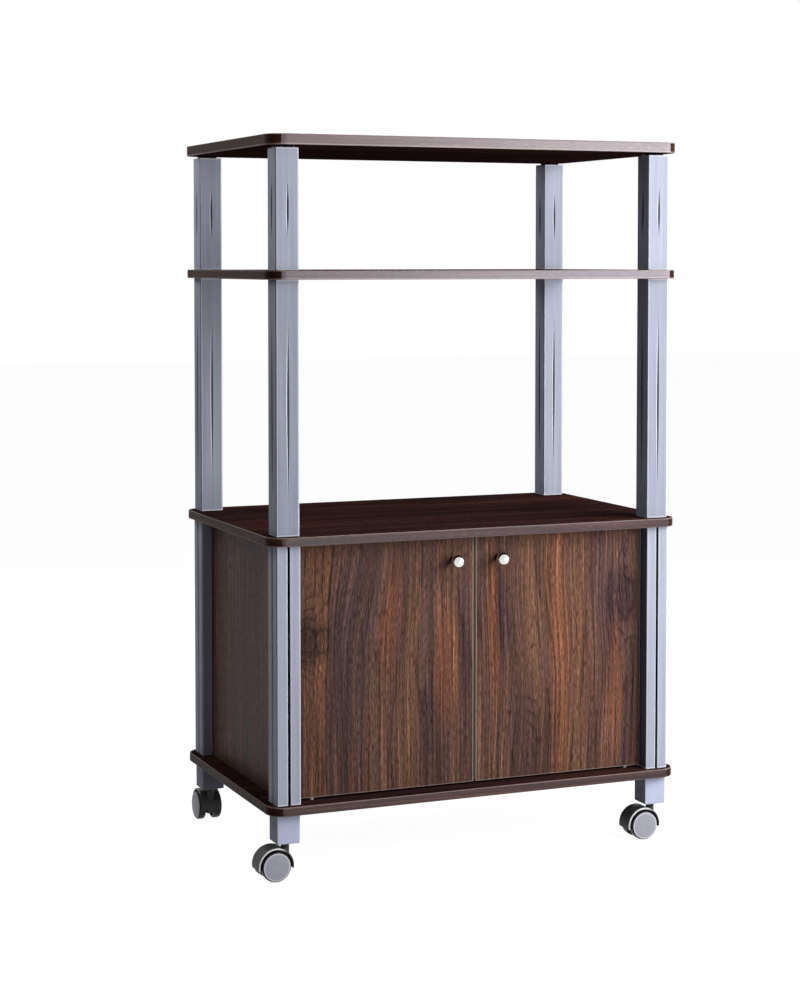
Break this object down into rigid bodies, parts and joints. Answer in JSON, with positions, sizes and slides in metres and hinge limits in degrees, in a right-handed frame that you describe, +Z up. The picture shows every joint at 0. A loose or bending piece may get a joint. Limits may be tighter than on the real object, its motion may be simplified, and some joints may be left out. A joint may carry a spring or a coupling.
{
  "type": "microwave cart",
  "caption": "Upright rolling cart: open shelf bays on square posts over a cabinet with hinged doors and ball knobs, on hooded swivel casters.",
  "frame": {"origin": "on the floor, midway between the four posts", "axes": "+X to the cart's right as seen from the front, +Y from the doors towards the back panel, +Z up"},
  "size_m": [0.6258, 0.3899, 0.97],
  "materials": {
    "walnut_board": "dark walnut foil, satin",
    "walnut_panel": "dark walnut foil with upright grain, satin",
    "silver_plastic": "silver-grey, satin",
    "black_plastic": "charcoal, semi-gloss",
    "wheel_plastic": "black rim with silver-grey disc",
    "chrome": "polished",
    "steel": "zinc plated",
    "white_plastic": "off-white nylon"
  },
  "bodies": {
    "root": {"top_shelf": "walnut_board", "middle_shelf": "walnut_board", "cabinet_top": "walnut_board", "base_board": "walnut_board", "front_left_upper_post": "silver_plastic", "front_right_upper_post": "silver_plastic", "rear_left_upper_post": "silver_plastic", "rear_right_upper_post": "silver_plastic", "front_left_middle_post": "silver_plastic", "front_right_middle_post": "silver_plastic", "rear_left_middle_post": "silver_plastic", "rear_right_middle_post": "silver_plastic", "front_left_cabinet_post": "silver_plastic", "front_right_cabinet_post": "silver_plastic", "rear_left_cabinet_post": "silver_plastic", "rear_right_cabinet_post": "silver_plastic", "front_left_foot": "silver_plastic", "front_right_foot": "silver_plastic", "rear_left_foot": "silver_plastic", "rear_right_foot": "silver_plastic", "top_connectors": "chrome", "middle_connectors": "black_plastic", "cabinet_connectors": "black_plastic", "base_connectors": "black_plastic", "left_side_panel": "walnut_panel", "right_side_panel": "walnut_panel", "back_panel": "walnut_panel", "hinge_pins": "steel", "catch_housing": "white_plastic", "catch_magnets": "steel", "catch_screws": "steel", "caster_sockets": "black_plastic", "caster_stems": "steel"},
    "left_door": {"left_door": "walnut_panel", "left_knob": "chrome", "left_knob_screw": "steel", "left_door_bushes": "white_plastic", "left_strike_plate": "steel"},
    "right_door": {"right_door": "walnut_panel", "right_knob": "chrome", "right_knob_screw": "steel", "right_door_bushes": "white_plastic", "right_strike_plate": "steel"},
    "front_left_caster": {"front_left_caster_housing": "black_plastic", "front_left_caster_axle": "steel"},
    "front_left_wheel_a": {"front_left_wheel_a": "wheel_plastic"},
    "front_left_wheel_b": {"front_left_wheel_b": "wheel_plastic"},
    "front_right_caster": {"front_right_caster_housing": "black_plastic", "front_right_caster_axle": "steel"},
    "front_right_wheel_a": {"front_right_wheel_a": "wheel_plastic"},
    "front_right_wheel_b": {"front_right_wheel_b": "wheel_plastic"},
    "rear_left_caster": {"rear_left_caster_housing": "black_plastic", "rear_left_caster_axle": "steel"},
    "rear_left_wheel_a": {"rear_left_wheel_a": "wheel_plastic"},
    "rear_left_wheel_b": {"rear_left_wheel_b": "wheel_plastic"},
    "rear_right_caster": {"rear_right_caster_housing": "black_plastic", "rear_right_caster_axle": "steel"},
    "rear_right_wheel_a": {"rear_right_wheel_a": "wheel_plastic"},
    "rear_right_wheel_b": {"rear_right_wheel_b": "wheel_plastic"}
  },
  "joints": [
    {"name": "left_door_hinge", "type": "hinge", "parent": "root", "child": "left_door", "pos_m": [-0.2335, -0.1555, 0.27], "axis": [0, 0, -1], "range_deg": [0, 110]},
    {"name": "right_door_hinge", "type": "hinge", "parent": "root", "child": "right_door", "pos_m": [0.2335, -0.1555, 0.27], "axis": [0, 0, 1], "range_deg": [0, 110]},
    {"name": "front_left_swivel", "type": "hinge", "parent": "root", "child": "front_left_caster", "pos_m": [-0.272, -0.1595, 0.042], "axis": [0, 0, 1], "continuous": true},
    {"name": "front_left_wheel_a_spin", "type": "hinge", "parent": "front_left_caster", "child": "front_left_wheel_a", "pos_m": [-0.2885, -0.1595, 0.02], "axis": [0, 1, 0], "continuous": true},
    {"name": "front_left_wheel_b_spin", "type": "hinge", "parent": "front_left_caster", "child": "front_left_wheel_b", "pos_m": [-0.2885, -0.1595, 0.02], "axis": [0, 1, 0], "continuous": true},
    {"name": "front_right_swivel", "type": "hinge", "parent": "root", "child": "front_right_caster", "pos_m": [0.272, -0.1595, 0.042], "axis": [0, 0, 1], "continuous": true},
    {"name": "front_right_wheel_a_spin", "type": "hinge", "parent": "front_right_caster", "child": "front_right_wheel_a", "pos_m": [0.2555, -0.1595, 0.02], "axis": [0, 1, 0], "continuous": true},
    {"name": "front_right_wheel_b_spin", "type": "hinge", "parent": "front_right_caster", "child": "front_right_wheel_b", "pos_m": [0.2555, -0.1595, 0.02], "axis": [0, 1, 0], "continuous": true},
    {"name": "rear_left_swivel", "type": "hinge", "parent": "root", "child": "rear_left_caster", "pos_m": [-0.272, 0.1595, 0.042], "axis": [0, 0, 1], "continuous": true},
    {"name": "rear_left_wheel_a_spin", "type": "hinge", "parent": "rear_left_caster", "child": "rear_left_wheel_a", "pos_m": [-0.272, 0.176, 0.02], "axis": [1, 0, 0], "continuous": true},
    {"name": "rear_left_wheel_b_spin", "type": "hinge", "parent": "rear_left_caster", "child": "rear_left_wheel_b", "pos_m": [-0.272, 0.176, 0.02], "axis": [1, 0, 0], "continuous": true},
    {"name": "rear_right_swivel", "type": "hinge", "parent": "root", "child": "rear_right_caster", "pos_m": [0.272, 0.1595, 0.042], "axis": [0, 0, 1], "continuous": true},
    {"name": "rear_right_wheel_a_spin", "type": "hinge", "parent": "rear_right_caster", "child": "rear_right_wheel_a", "pos_m": [0.2885, 0.1595, 0.02], "axis": [0, -1, 0], "continuous": true},
    {"name": "rear_right_wheel_b_spin", "type": "hinge", "parent": "rear_right_caster", "child": "rear_right_wheel_b", "pos_m": [0.2885, 0.1595, 0.02], "axis": [0, -1, 0], "continuous": true}
  ]
}
